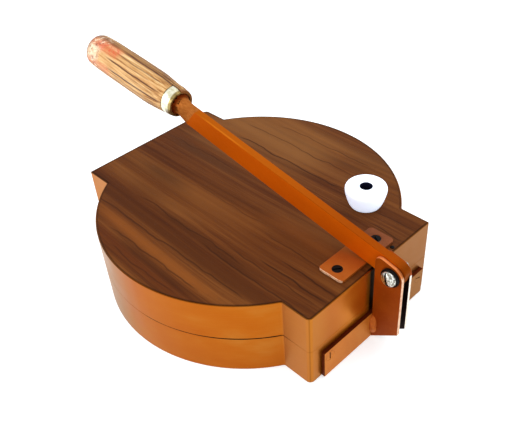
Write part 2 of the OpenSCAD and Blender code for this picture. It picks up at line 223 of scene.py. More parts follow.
def turned(name, rings, sides=64, place=None):
    """Turned on a lathe: each ring is a radius and a height on the Z axis."""
    (r0, z0), (r1, z1) = rings[:2]
    part = rod(name, r0, (0, 0, z0), (0, 0, z1), sides, r1)
    work_on(part)
    pick(part, "FACE", lambda p, n: p.xy.length < 0.01 * r1 and abs(p.z - z1) < 0.001)
    for (ra, za), (rb, zb) in zip(rings[1:], rings[2:]):
        bpy.ops.mesh.extrude_region_move(TRANSFORM_OT_translate={"value": (0, 0, (zb - za) * MM)})
        bpy.ops.transform.resize(value=(rb / ra, rb / ra, 1), center_override=(0, 0, zb * MM))
    bpy.ops.mesh.select_all(action="SELECT")
    bpy.ops.mesh.normals_make_consistent(inside=False)
    put_down()
    return settle(part, place) if place is not None else part


def dress(part, body, slot, finish, *nodes):
    """Gives a finished piece its finish, ties it to its body and hides its CAD nodes. The slot is not used."""
    if not part.data.materials:
        part.data.materials.append(finish)
    else:
        part.data.materials[0] = finish
    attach(part, body)
    if nodes:
        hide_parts(*nodes)
    return part


def split_off(part, place, outward):
    """Cuts the selected mesh with a plane in mm and closes the cut, keeping the inner side."""
    bpy.ops.mesh.select_all(action="SELECT")
    bpy.ops.mesh.bisect(
        plane_co=Vector(place) * MM, plane_no=Vector(outward).normalized(), use_fill=True, clear_outer=True
    )


def finish_faces(part, finish, test):
    """Gives the faces that pass the test a finish of their own."""
    if not part.data.materials:
        part.data.materials.append(None)
    part.data.materials.append(finish)
    work_on(part)
    pick(part, "FACE", test)
    part.active_material_index = len(part.data.materials) - 1
    bpy.ops.object.material_slot_assign()
    put_down()


# Finishes


def rgb(red, green, blue):
    return tuple(
        (c / 255 / 12.92 if c <= 10 else ((c / 255 + 0.055) / 1.055) ** 2.4) for c in (red, green, blue)
    ) + (1.0,)


class Finish:
    """A procedural finish, written as a short chain of nodes."""

    def __init__(self, name, colour, roughness, metallic=0.0, stain=(1, 1, 1), **more):
        self.material = bpy.data.materials.new(name)
        self.stain = stain
        self.material.use_nodes = True
        self.tree = self.material.node_tree
        self.shader = self.tree.nodes["Principled BSDF"]
        self.material.diffuse_color = colour
        self.shader.inputs["Base Color"].default_value = colour
        self.shader.inputs["Roughness"].default_value = roughness
        self.shader.inputs["Metallic"].default_value = metallic
        for key, value in more.items():
            self.shader.inputs[key.replace("_", " ")].default_value = value

    def node(self, kind, inputs=(), **settings):
        made = self.tree.nodes.new("ShaderNode" + kind)
        for key, value in settings.items():
            setattr(made, key, value)
        for key, value in dict(inputs).items():
            self.feed(made.inputs[key], value)
        return made

    def feed(self, socket, value):
        if isinstance(value, bpy.types.NodeSocket):
            self.tree.links.new(value, socket)
        else:
            socket.default_value = value

    def place(self, frame_of=None, stretch=(1, 1, 1)):
        """Object coordinates in mm, in the frame of the piece, stretched."""
        out = self.node("TexCoord").outputs["Object"]
        if frame_of is not None:
            where, turn, _ = frame_of.decompose()
            out = self.node(
                "Mapping",
                {"Vector": out, "Location": where, "Rotation": turn.to_euler()},
                vector_type="TEXTURE",
            ).outputs[0]
        return self.node(
            "Mapping", {"Vector": out, "Scale": [1000 * s for s in stretch]}, vector_type="POINT"
        ).outputs[0]

    def scaled(self, vector, stretch, shift=(0, 0, 0)):
        return self.node("Mapping", {"Vector": vector, "Scale": stretch, "Location": shift}).outputs[0]

    def noise(self, vector, scale=1.0, detail=4.0, roughness=0.5, distortion=0.0):
        return self.node(
            "TexNoise",
            {"Vector": vector, "Scale": scale, "Detail": detail, "Roughness": roughness, "Distortion": distortion},
        ).outputs["Fac"]

    def maths(self, operation, a, b=0.0, c=0.0, clamp=False):
        made = self.node("Math", operation=operation, use_clamp=clamp)
        for socket, value in zip(made.inputs, (a, b, c)):
            self.feed(socket, value)
        return made.outputs[0]

    def span(self, value, low, high, out_low=0.0, out_high=1.0, kind="SMOOTHSTEP"):
        return self.node(
            "MapRange",
            {"Value": value, "From Min": low, "From Max": high, "To Min": out_low, "To Max": out_high},
            interpolation_type=kind,
        ).outputs[0]

    def ramp(self, value, *stops):
        made = self.node("ValToRGB", {"Fac": value})
        for _ in range(len(stops) - 2):
            made.color_ramp.elements.new(0.5)
        for element, (at, colour) in zip(made.color_ramp.elements, stops):
            element.position = at
            element.color = colour
        return made.outputs[0]

    def blend(self, amount, a, b, mode="MIX"):
        made = self.node("Mix", data_type="RGBA", blend_type=mode)
        self.feed(made.inputs[0], amount)
        self.feed(made.inputs[6], a)
        self.feed(made.inputs[7], b)
        return made.outputs[2]

    def parts_of(self, vector):
        return self.node("SeparateXYZ", {"Vector": vector}).outputs

    def hill(self, value, centre, width):
        """1 at the centre, falling smoothly to nothing at the width."""
        away = self.maths("ABSOLUTE", self.maths("SUBTRACT", value, centre))
        return self.span(away, 0.0, width, 1.0, 0.0)

    def window(self, value, low, high, edge):
        return self.maths(
            "MULTIPLY", self.span(value, low - edge, low + edge), self.span(value, high - edge, high + edge, 1.0, 0.0)
        )

    def colour(self, value):
        """The tone, times the stain over all of it."""
        if self.stain != (1, 1, 1):
            value = self.blend(1.0, value, tuple(self.stain) + (1,), "MULTIPLY")
        self.feed(self.shader.inputs["Base Color"], value)

    def rough(self, value):
        self.feed(self.shader.inputs["Roughness"], value)

    def relief(self, height, depth):
        """Bump, its full height given in mm."""
        bump = self.node("Bump", {"Height": height, "Distance": depth * MM, "Strength": 1.0})
        self.feed(self.shader.inputs["Normal"], bump.outputs[0])


def walnut(name, figured=True):
    """Oiled dark hardwood, its grain along Y."""
    f = Finish(name, rgb(118, 66, 32), 0.55, stain=(0.78, 0.75, 0.52), Specular_IOR_Level=0.05)
    at = f.place()
    sway = f.noise(f.scaled(at, (0.01, 0.0045, 0.02)), 1.0, 1.0)
    x, y, z = f.parts_of(at)
    x = f.maths("ADD", x, f.maths("MULTIPLY", f.maths("SUBTRACT", sway, 0.5), 16.0))
    bent = f.node("CombineXYZ", {0: x, 1: y, 2: z}).outputs[0]
    broad = f.noise(f.scaled(bent, (0.055, 0.0022, 0.055)), 1.0, 3.0, 0.55)
    streaks = f.noise(f.scaled(bent, (0.24, 0.0032, 0.24)), 1.0, 4.0, 0.6)
    fibres = f.noise(f.scaled(bent, (1.8, 0.03, 1.8)), 1.0, 3.0, 0.6)
    pores = f.noise(f.scaled(bent, (3.0, 0.12, 3.0), (7, 3, 1)), 1.0, 2.0, 0.5)
    mixed = f.maths("ADD", f.maths("MULTIPLY", broad, 0.48), f.maths("MULTIPLY", streaks, 0.52))
    tone = f.ramp(
        f.span(mixed, 0.36, 0.64, kind="LINEAR"),
        (0.0, rgb(82, 40, 17)), (0.3, rgb(101, 53, 24)), (0.62, rgb(119, 67, 33)), (1.0, rgb(139, 83, 43)),
    )
    tone = f.blend(0.55, tone, f.ramp(fibres, (0.3, rgb(178, 172, 168)), (0.66, rgb(255, 255, 255))), "MULTIPLY")
    tone = f.blend(f.span(pores, 0.64, 0.74, 0.0, 0.3), tone, rgb(56, 27, 12))
    if figured:
        marks = (
            (rgb(96, 44, 17), 0.55, -110, 9, -60, 80, 30), (rgb(146, 82, 36), 0.7, -93, 9, -66, 76, 26),
            (rgb(80, 40, 16), 0.75, -75, 11, -122, 120, 24), (rgb(140, 88, 50), 0.5, -52, 9, 10, 122, 34),
            (rgb(136, 84, 46), 0.55, -31, 14, -10, 124, 40), (rgb(136, 76, 36), 0.6, -12, 15, -108, -38, 24),
            (rgb(90, 54, 34), 0.6, 12, 11, 26, 118, 26), (rgb(140, 90, 54), 0.45, 30, 10, 20, 120, 30),
            (rgb(134, 84, 50), 0.5, 70, 9, -60, 96, 30), (rgb(92, 54, 30), 0.4, 86, 8, -60, 60, 30),
            (rgb(138, 88, 52), 0.5, 104, 11, -60, 70, 30), (rgb(88, 46, 20), 0.5, -22, 8, -124, -40, 16),
            (rgb(160, 108, 68), 0.5, 78, 44, -14, 120, 26), (rgb(84, 42, 18), 0.45, -58, 34, 44, 92, 24),
            (rgb(88, 44, 18), 0.4, -46, 40, -128, -34, 20), (rgb(92, 56, 32), 0.35, 102, 26, -90, -30, 20),
            (rgb(148, 88, 44), 0.2, -24, 26, -46, 56, 30), (rgb(64, 30, 12), 0.55, -62, 7, -70, 40, 24),
            (rgb(60, 28, 12), 0.5, -104, 6, -50, 30, 20), (rgb(70, 40, 26), 0.5, -30, 10, 52, 100, 20),
        )
        for shade, amount, middle, half, low, high, edge in marks:
            mark = f.maths("MULTIPLY", f.hill(x, middle, half), f.window(y, low, high, edge))
            tone = f.blend(f.maths("MULTIPLY", mark, amount), tone, shade)
        fine = f.maths("MULTIPLY", f.maths("SUBTRACT", f.noise(f.scaled(at, (0.02, 0.03, 0)), 1.0, 2.0), 0.5), 9.0)
        wavy = f.maths("ADD", f.parts_of(at)[0], fine)
        for middle, half, low, high, amount in (
            (-60, 1.1, -54, 66, 0.6), (-48, 1.2, -128, -66, 0.85), (-39, 1.1, -128, -80, 0.8), (-66, 1.2, -126, -20, 0.65),
            (37, 1.0, -128, -98, 0.7), (52, 1.0, -128, -92, 0.6), (57, 1.3, -52, 68, 0.75), (-26, 1.0, -116, -50, 0.55),
            (-100, 1.2, -50, 50, 0.6), (-84, 1.1, -80, 90, 0.65), (78, 1.0, -40, 76, 0.6), (96, 1.1, -50, 50, 0.55),
            (18, 1.0, 30, 110, 0.5), (-18, 0.9, -36, 40, 0.35), (-54, 0.9, -120, -40, 0.6), (-113, 1.0, -40, 34, 0.5),
        ):
            line = f.maths("MULTIPLY", f.hill(wavy, middle, half), f.window(y, low, high, 8))
            tone = f.blend(f.maths("MULTIPLY", line, amount), tone, rgb(50, 24, 10))
    # Painted shade: a thin dark line along the board's edge, where it meets the band.
    radius = f.node("VectorMath", {0: f.scaled(at, (1, 1, 0))}, operation="LENGTH").outputs["Value"]
    inside = f.maths(
        "MAXIMUM",
        f.maths("SUBTRACT", DISC_R - 1.05, radius),
        f.maths(
            "MINIMUM",
            f.maths("SUBTRACT", HALF_W - 1.05, f.maths("ABSOLUTE", f.parts_of(at)[0])),
            f.maths("SUBTRACT", HALF_L - 1.05, f.maths("ABSOLUTE", y)),
        ),
    )
    tone = f.blend(f.span(inside, 0.1, 1.5, 0.55, 0.0), tone, rgb(44, 22, 11))
    # Painted shadow of the clevis, almost black, on the board's front edge.
    clevis_shadow = f.maths("MULTIPLY", f.window(f.parts_of(at)[0], -5.0, 7.5, 0.8), f.span(y, -128.2, -129.2))
    tone = f.blend(clevis_shadow, tone, rgb(14, 6, 4))
    f.colour(tone)
    f.rough(f.span(fibres, 0.3, 0.7, 0.46, 0.62, "LINEAR"))
    f.relief(f.maths("SUBTRACT", f.maths("MULTIPLY", fibres, 0.5), f.span(pores, 0.6, 0.72)), 0.1)
    return f.material


def copper_sheet(name):
    """Rolled copper sheet, satin, with painted reflections on its flat faces and the round's left, and a painted shadow
    behind the clevis.
    """
    f = Finish(name, rgb(196, 106, 30), 0.36, 0.9, stain=(0.73, 0.74, 0.48), Specular_IOR_Level=0.05,
               Specular_Tint=(0.92, 0.86, 0.78, 1))
    at = f.place()
    x, y, z = f.parts_of(at)
    cloud = f.noise(f.scaled(at, (0.02, 0.02, 0.05)), 1.0, 3.0, 0.55)
    drawn = f.noise(f.scaled(at, (0.03, 0.03, 2.4)), 1.0, 3.0, 0.6)
    tone = f.ramp(cloud, (0.3, rgb(192, 96, 14)), (0.55, rgb(198, 106, 26)), (0.75, rgb(202, 120, 48)))
    # Painted reflections: tan and deep orange tones across the nose's flat sides and front face.
    sides = f.span(f.maths("ABSOLUTE", x), 66.6, 67.2)
    sides = f.maths("MULTIPLY", sides, f.span(f.maths("ABSOLUTE", y), 104, 107))
    tone = f.blend(f.maths("MULTIPLY", sides, 0.8), tone, f.blend(f.span(x, -10, 10), rgb(200, 124, 66), rgb(168, 100, 38)))
    front = f.span(y, -129.6, -129.0, 1.0, 0.0)
    tan = f.blend(f.span(x, -50, -14), f.blend(f.span(x, -64, -40), rgb(204, 124, 50), rgb(200, 106, 16)), rgb(244, 146, 40))
    tan = f.blend(f.span(x, 2, 12), tan, rgb(196, 132, 84))
    tone = f.blend(f.maths("MULTIPLY", front, 0.85), tone, tan)
    tone = f.blend(f.span(drawn, 0.55, 0.8, 0.0, 0.2), tone, rgb(222, 150, 92))
    # Painted shadow: the front goes almost black behind the clevis, less past its middle.
    behind = f.maths("MULTIPLY", f.window(x, -3.3, 7.0, 1.1), f.maths("MULTIPLY", front, f.span(z, 25, 27)))
    tone = f.blend(f.maths("MULTIPLY", behind, f.span(x, 0.0, 2.5, 0.97, 0.6)), tone, rgb(34, 10, 3))
    turn = f.maths("MULTIPLY", f.maths("ARCTAN2", y, x), 57.29578)
    wavy = f.maths("MULTIPLY", f.maths("SUBTRACT", f.noise(f.scaled(at, (0.09, 0.09, 0)), 1.0, 2.0), 0.5), 0.5)
    thick = f.maths("ADD", f.span(turn, -155, -146, 0.34, 0.62), wavy)
    gap = f.maths("DIVIDE", f.maths("ABSOLUTE", f.maths("SUBTRACT", z, 33.85)), f.maths("MAXIMUM", thick, 0.12))
    gap = f.maths("MULTIPLY", f.span(gap, 0.7, 1.1, 1.0, 0.0), f.window(turn, -174, -122, 3))
    tone = f.blend(f.maths("MULTIPLY", gap, 0.95), tone, rgb(22, 8, 3))
    # Painted reflection: greyish where the round faces left.
    from_left = f.maths("MULTIPLY", f.maths("ARCTAN2", y, f.maths("MULTIPLY", x, -1.0)), 57.29578)
    tone = f.blend(f.maths("MULTIPLY", f.hill(from_left, 18, 26), 0.54), tone, rgb(146, 126, 108))
    # Painted reflection: a duller brown on the front, right of the clevis.
    right = f.maths("MULTIPLY", front, f.span(x, 9, 12))
    tone = f.blend(f.maths("MULTIPLY", right, 0.8), tone, rgb(156, 92, 44))
    far = f.span(f.maths("ADD", f.maths("MULTIPLY", x, 0.66), f.maths("MULTIPLY", y, 0.75)), 0.0, 16.0)
    rim = f.maths("MULTIPLY", f.span(z, 67.1, 67.35), f.maths("ADD", f.maths("MULTIPLY", far, 0.3), 0.65))
    tone = f.blend(rim, tone, rgb(96, 52, 24))
    lap = f.node("VectorMath", {0: f.scaled(at, (1, 1, 0)), 1: (-67.14, -129.54, 0)}, operation="DISTANCE").outputs["Value"]
    tone = f.blend(f.span(lap, 0.25, 0.7, 0.35, 0.0), tone, rgb(92, 40, 8))
    f.colour(tone)
    f.rough(f.span(cloud, 0.3, 0.75, 0.28, 0.4, "LINEAR"))
    wave = f.noise(f.scaled(at, (0.045, 0.045, 0.02)), 1.0, 1.0)
    f.relief(f.maths("ADD", wave, f.maths("MULTIPLY", drawn, 0.02)), 0.5)
    return f.material


def copper_lacquer(name, deep, light, right=None):
    """Copper-coloured lacquer over steel, its tone a little uneven, with small specks."""
    f = Finish(name, rgb(*deep), 0.5, 0.6, Specular_IOR_Level=0.05)
    at = f.place()
    cloud = f.noise(f.scaled(at, (0.05, 0.03, 0.05)), 1.0, 4.0, 0.6)
    fine = f.noise(f.scaled(at, (0.9, 0.5, 0.9)), 1.0, 3.0, 0.6)
    tone = f.ramp(cloud, (0.3, rgb(*deep)), (0.72, rgb(*light)))
    if right:
        tone = f.blend(f.span(f.parts_of(at)[0], 5, 12), tone, rgb(*right))
    tone = f.blend(f.span(fine, 0.62, 0.8, 0.0, 0.35), tone, rgb(128, 52, 10))
    tone = f.blend(f.span(fine, 0.2, 0.36, 0.35, 0.0), tone, rgb(222, 128, 60))
    f.colour(tone)
    f.rough(f.span(fine, 0.3, 0.7, 0.44, 0.58, "LINEAR"))
    f.relief(fine, 0.08)
    return f.material


def plate_lacquer(name):
    """Brown-copper lacquer, handled and dulled to the right of the lever."""
    f = Finish(name, rgb(166, 84, 24), 0.5, 0.5, Specular_IOR_Level=0.12)
    at = f.place()
    cloud = f.noise(f.scaled(at, (0.05, 0.05, 0.05)), 1.0, 4.0, 0.6)
    fine = f.noise(f.scaled(at, (0.9, 0.9, 0.9)), 1.0, 3.0, 0.6)
    left = f.ramp(cloud, (0.3, rgb(154, 74, 16)), (0.72, rgb(168, 88, 26)))
    right = f.ramp(cloud, (0.3, rgb(108, 56, 27)), (0.72, rgb(139, 77, 42)))
    tone = f.blend(f.span(f.parts_of(at)[0], 3, 12), left, right)
    tone = f.blend(f.span(fine, 0.62, 0.8, 0.0, 0.4), tone, rgb(70, 30, 10))
    f.colour(tone)
    f.rough(f.span(fine, 0.3, 0.7, 0.42, 0.58, "LINEAR"))
    f.relief(fine, 0.08)
    return f.material


def lever_lacquer(name):
    """Orange copper lacquer, paler on the forged neck and dark at the ferrule's mouth."""
    f = Finish(name, rgb(186, 80, 9), 0.5, 0.5, stain=(0.98, 1.0, 0.62), Specular_IOR_Level=0.02,
               Specular_Tint=(0.92, 0.7, 0.5, 1))
    at = f.place(LEVER)
    x, y, z = f.parts_of(at)
    cloud = f.noise(f.scaled(at, (0.04, 0.012, 0.04)), 1.0, 3.0, 0.6)
    fine = f.noise(f.scaled(at, (0.8, 0.3, 0.8)), 1.0, 3.0, 0.6)
    tone = f.ramp(cloud, (0.3, rgb(188, 78, 6)), (0.72, rgb(200, 88, 8)))
    tone = f.blend(f.maths("MULTIPLY", f.span(y, 120, 215), 0.55), tone, rgb(158, 68, 4))
    # Painted shade: the top face is toned darker than the sides, to even out the light they get.
    top = f.span(z, 10.6, 11.2)
    tone = f.blend(f.maths("MULTIPLY", top, 0.95), tone, f.ramp(f.span(y, 20, 150), (0.0, rgb(148, 64, 8)), (1.0, rgb(172, 84, 16))))
    # Painted highlight along the bar's top left edge.
    edge = f.maths("MULTIPLY", f.hill(x, -2.4, 1.2), f.maths("MULTIPLY", f.span(z, 10.4, 11.0), f.window(y, 157, 198, 12)))
    tone = f.blend(f.maths("MULTIPLY", edge, 0.45), tone, rgb(222, 126, 36))
    neck = f.span(f.maths("ADD", y, f.maths("MULTIPLY", z, 0.6)), 217.0, 218.2)
    tone = f.blend(neck, tone, f.ramp(fine, (0.3, rgb(150, 78, 36)), (0.7, rgb(180, 108, 62))))
    # Darker near the ferrule's mouth, with an uneven edge.
    mouth_dark = f.maths("ADD", y, f.maths("MULTIPLY", f.maths("SUBTRACT", fine, 0.5), 2.0))
    tone = f.blend(f.span(mouth_dark, 228.0, 231.5), tone, rgb(96, 32, 5))
    tone = f.blend(f.span(y, 5.0, -6.0), tone, rgb(124, 54, 8))
    tone = f.blend(f.span(fine, 0.66, 0.8, 0.0, 0.3), tone, rgb(128, 52, 10))
    f.colour(tone)
    f.rough(f.span(fine, 0.3, 0.7, 0.44, 0.58, "LINEAR"))
    f.relief(fine, 0.08)
    return f.material


def worn_and_highlight_edge(name, dark=(188, 112, 60), tone=(222, 176, 138), light=(238, 206, 176)):
    """The thin edges, where the lacquer is rubbed to the metal; the cream one is a painted highlight."""
    f = Finish(name, rgb(*tone), 0.4, 0.35)
    at = f.place()
    grind = f.noise(f.scaled(at, (0.5, 0.5, 0.5)), 1.0, 4.0, 0.65)
    f.colour(f.ramp(grind, (0.3, rgb(*dark)), (0.5, rgb(*tone)), (0.8, rgb(*light))))
    f.relief(grind, 0.08)
    return f.material


def plated_zinc(name):
    f = Finish(name, rgb(206, 206, 198), 0.3, 1.0)
    at = f.place()
    spangle = f.noise(f.scaled(at, (0.7, 0.7, 0.7)), 1.0, 5.0, 0.7)
    f.colour(f.ramp(spangle, (0.36, rgb(66, 62, 52)), (0.47, rgb(150, 146, 132)), (0.56, rgb(222, 222, 214)), (0.75, rgb(246, 246, 242))))
    f.rough(f.span(spangle, 0.3, 0.7, 0.42, 0.22, "LINEAR"))
    f.relief(spangle, 0.12)
    return f.material


def black_steel(name, dark=(4, 3, 4), light=(14, 10, 9)):
    f = Finish(name, rgb(*dark), 0.55, 0.2, Specular_IOR_Level=0.1)
    at = f.place()
    grit = f.noise(f.scaled(at, (1.1, 1.1, 1.1)), 1.0, 4.0, 0.6)
    f.colour(f.ramp(grit, (0.35, rgb(*dark)), (0.75, rgb(*light))))
    f.rough(f.span(grit, 0.3, 0.7, 0.34, 0.56, "LINEAR"))
    f.relief(grit, 0.06)
    return f.material


def hinge_brass(name, low=(150, 120, 66), high=(172, 142, 86)):
    """Brushed brass, a little tarnished."""
    f = Finish(name, rgb(*high), 0.34, 1.0)
    at = f.place()
    brushed = f.noise(f.scaled(at, (0.12, 5.0, 5.0)), 1.0, 2.0, 0.5)
    stain = f.noise(f.scaled(at, (0.08, 0.08, 0.08)), 1.0, 4.0, 0.6)
    tone = f.ramp(brushed, (0.3, rgb(*low)), (0.7, rgb(*high)))
    f.colour(f.blend(f.span(stain, 0.5, 0.75, 0.0, 0.6), tone, rgb(112, 84, 46)))
    f.rough(f.span(brushed, 0.3, 0.7, 0.28, 0.44, "LINEAR"))
    f.relief(brushed, 0.04)
    return f.material


def white_plastic(name):
    # Painted light: the knob glows a little, bluish white, though it is no lamp.
    f = Finish(
        name, rgb(244, 244, 250), 0.4, 0.0, Emission_Color=(0.66, 0.82, 1.0, 1), Emission_Strength=0.62,
        Specular_IOR_Level=0.3,
    )
    at = f.place()
    haze = f.noise(f.scaled(at, (0.06, 0.06, 0.06)), 1.0, 3.0, 0.5)
    grain = f.noise(f.scaled(at, (1.6, 1.6, 1.6)), 1.0, 2.0, 0.5)
    f.colour(f.ramp(haze, (0.35, rgb(236, 238, 252)), (0.65, rgb(250, 250, 254))))
    f.rough(f.span(grain, 0.3, 0.7, 0.28, 0.38, "LINEAR"))
    f.relief(grain, 0.02)
    return f.material


def ferrule_metal(name):
    """Pale polished brass, tarnished towards its mouth."""
    f = Finish(name, rgb(232, 226, 196), 0.26, 0.85)
    at = f.place(GRIP)
    x, y, s = f.parts_of(at)
    mottle = f.noise(f.scaled(at, (0.35, 0.35, 0.2)), 1.0, 4.0, 0.6)
    tone = f.ramp(mottle, (0.3, rgb(206, 200, 160)), (0.6, rgb(240, 236, 214)))
    mouth = f.maths("ADD", f.span(s, -9.6, -6.0, 1.0, 0.0), f.maths("MULTIPLY", f.maths("SUBTRACT", mottle, 0.5), 0.8))
    tone = f.blend(f.span(mouth, 0.25, 0.9), tone, f.ramp(mottle, (0.35, rgb(120, 92, 44)), (0.65, rgb(176, 156, 98))))
    f.colour(f.blend(f.hill(s, 0.0, 1.2), tone, rgb(120, 96, 52)))
    f.rough(f.span(mottle, 0.3, 0.7, 0.2, 0.38, "LINEAR"))
    f.relief(mottle, 0.06)
    return f.material


def grip_wood(name):
    """Worn straw-coloured wood with dark checks along it and traces of red paint."""
    f = Finish(name, rgb(232, 192, 132), 0.5, 0.0, stain=(0.99, 1.0, 0.95), Specular_IOR_Level=0.2)
    at = f.place(GRIP)
    x, y, s = f.parts_of(at)
    angle = f.maths("MULTIPLY", f.maths("ARCTAN2", f.maths("MULTIPLY", y, -1.0), x), 57.29578)
    angle = f.maths("MODULO", f.maths("ADD", angle, 450.0), 360.0)
    angle = f.maths("SUBTRACT", angle, 90.0)
    grain = f.noise(f.scaled(at, (0.55, 0.55, 0.02)), 1.0, 5.0, 0.62)
    fibres = f.noise(f.scaled(at, (2.4, 2.4, 0.08)), 1.0, 3.0, 0.6)
    blotch = f.noise(f.scaled(at, (0.16, 0.16, 0.06)), 1.0, 4.0, 0.65)
    tone = f.ramp(
        grain, (0.3, rgb(128, 78, 34)), (0.43, rgb(190, 136, 78)), (0.56, rgb(222, 176, 120)), (0.72, rgb(240, 208, 160))
    )
    tone = f.blend(0.5, tone, f.ramp(fibres, (0.3, rgb(190, 176, 160)), (0.7, rgb(255, 255, 255))), "MULTIPLY")
    tone = f.blend(f.span(blotch, 0.55, 0.75, 0.0, 0.45), tone, rgb(206, 142, 88))
    wobble = f.maths("MULTIPLY", f.maths("SUBTRACT", f.noise(f.scaled(at, (0.03, 0.03, 0.03)), 1.0, 4.0), 0.5), 12.0)
    bent = f.maths("ADD", angle, wobble)
    # Painted shade: the grip is darker all round except its upper left quarter, towards its outline.
    outline_shade = f.maths("MAXIMUM", f.span(angle, 182, 206), f.span(angle, 98, 78))
    tone = f.blend(f.maths("MULTIPLY", outline_shade, 0.75), tone, f.ramp(grain, (0.4, rgb(112, 66, 20)), (0.62, rgb(178, 124, 52))))
    pale = f.maths("MULTIPLY", f.window(s, 90, 114, 7), f.window(angle, 92, 184, 12))
    tone = f.blend(f.maths("MULTIPLY", pale, 0.7), tone, f.ramp(blotch, (0.36, rgb(150, 92, 66)), (0.5, rgb(216, 160, 128)), (0.62, rgb(236, 206, 178))))
    speck = f.span(f.noise(f.scaled(at, (0.5, 0.5, 0.4), (3, 9, 4)), 1.0, 4.0, 0.7), 0.5, 0.62)
    for red, low, high, a0, a1, strength in (
        (rgb(206, 84, 52), 66, 96, 90, 128, 0.95), (rgb(190, 96, 70), 70, 112, 166, 200, 0.9),
        (rgb(212, 112, 84), 86, 112, 96, 130, 0.6), (rgb(112, 58, 26), 76, 108, 74, 94, 0.85),
        (rgb(232, 208, 180), 90, 118, 124, 174, 0.9),
    ):
        patch = f.maths("MULTIPLY", f.window(s, low, high, 5), f.window(angle, a0, a1, 9))
        patch = f.maths("MULTIPLY", patch, f.maths("ADD", f.maths("MULTIPLY", speck, 0.5), 0.5))
        tone = f.blend(f.maths("MULTIPLY", patch, strength), tone, red)
    worn_end = f.window(s, 88, 118, 6)
    chips = f.span(f.noise(f.scaled(at, (0.36, 0.36, 0.3), (5, 1, 8)), 1.0, 4.0, 0.65), 0.52, 0.6)
    tone = f.blend(f.maths("MULTIPLY", chips, f.maths("MULTIPLY", worn_end, 0.75)), tone, rgb(238, 214, 186))
    pits = f.span(f.noise(f.scaled(at, (0.42, 0.42, 0.34), (2, 7, 5)), 1.0, 4.0, 0.65), 0.53, 0.62)
    tone = f.blend(f.maths("MULTIPLY", pits, f.maths("MULTIPLY", worn_end, 0.8)), tone, rgb(128, 60, 42))
    checks = None
    for middle, half, low, high, strength in (
        (170, 5.0, 2, 70, 1.0), (140, 4.4, 8, 74, 1.0), (124, 2.6, 20, 66, 0.5), (108, 3.6, 10, 66, 0.7), (86, 5.5, -12, 60, 1.0),
        (76, 3.4, -10, 44, 0.8), (154, 2.4, 10, 50, 0.45), (184, 3.0, 20, 64, 0.6),
        (60, 3.0, 4, 90, 0.7), (200, 3.0, 10, 96, 0.7), (20, 3.0, 6, 80, 0.7), (-20, 3.0, 8, 100, 0.7),
        (-60, 3.0, 12, 90, 0.7), (235, 3.0, 6, 88, 0.7),
    ):
        line = f.maths("MULTIPLY", f.hill(bent, middle, half), f.window(s, low, high, 7))
        line = f.maths("MULTIPLY", line, strength)
        checks = line if checks is None else f.maths("MAXIMUM", checks, line)
    tone = f.blend(checks, tone, rgb(78, 36, 12))
    end = f.maths("ADD", s, f.maths("MULTIPLY", f.maths("SUBTRACT", blotch, 0.5), 10.0))
    rim = f.maths("MULTIPLY", f.hill(end, 106.0, 4.6), f.span(speck, 0.2, 0.8, 0.6, 1.0))
    tone = f.blend(f.maths("MULTIPLY", rim, 0.85), tone, rgb(92, 40, 28))
    tone = f.blend(f.span(s, -8.2, -10.2, 0.0, 0.8), tone, rgb(126, 72, 28))
    f.colour(tone)
    f.rough(f.span(fibres, 0.3, 0.7, 0.4, 0.58, "LINEAR"))
    height = f.maths("SUBTRACT", f.maths("ADD", f.maths("MULTIPLY", fibres, 0.3), f.maths("MULTIPLY", blotch, 0.6)), checks)
    f.relief(height, 0.45)
    return f.material


WALNUT = walnut("figured_walnut")
PLAIN_WALNUT = walnut("plain_walnut", False)
SHEET = copper_sheet("satin_copper_sheet")
LACQUER = copper_lacquer("copper_lacquer", (184, 104, 28), (194, 118, 40), (150, 96, 38))
PLATE_LACQUER = plate_lacquer("plate_lacquer")
EAR_LACQUER = copper_lacquer("ear_lacquer", (136, 56, 4), (152, 69, 6))
EAR_TOP_HIGHLIGHT = copper_lacquer("ear_top_painted_highlight", (196, 108, 52), (226, 146, 88))
PAINTED_SHADE_BROWN = copper_lacquer("dark_brown_painted_shade", (70, 24, 5), (104, 40, 10))
INNER_SHADE = copper_lacquer("painted_shade_black", (18, 8, 5), (34, 14, 8))
LEVER_LACQUER = lever_lacquer("lever_lacquer")
BARE_EDGE = worn_and_highlight_edge("bare_edge")
CREAM_EDGE = worn_and_highlight_edge("cream_edge", (226, 190, 156), (246, 232, 216), (252, 246, 240))
WELD = copper_lacquer("weld_lacquer", (150, 66, 16), (200, 118, 50))
ZINC = plated_zinc("plated_zinc")
BLACK = black_steel("black_steel")
WELL_SHADE = black_steel("well_shade", (12, 13, 30), (28, 31, 58))
BRASS = hinge_brass("hinge_brass")
DULL_BRASS = hinge_brass("dull_screw_brass", (92, 72, 40), (124, 98, 56))
PLASTIC = white_plastic("white_plastic")
PALE_BRASS = ferrule_metal("pale_brass")
STRAW_WOOD = grip_wood("worn_grip_wood")


# Boards and bands


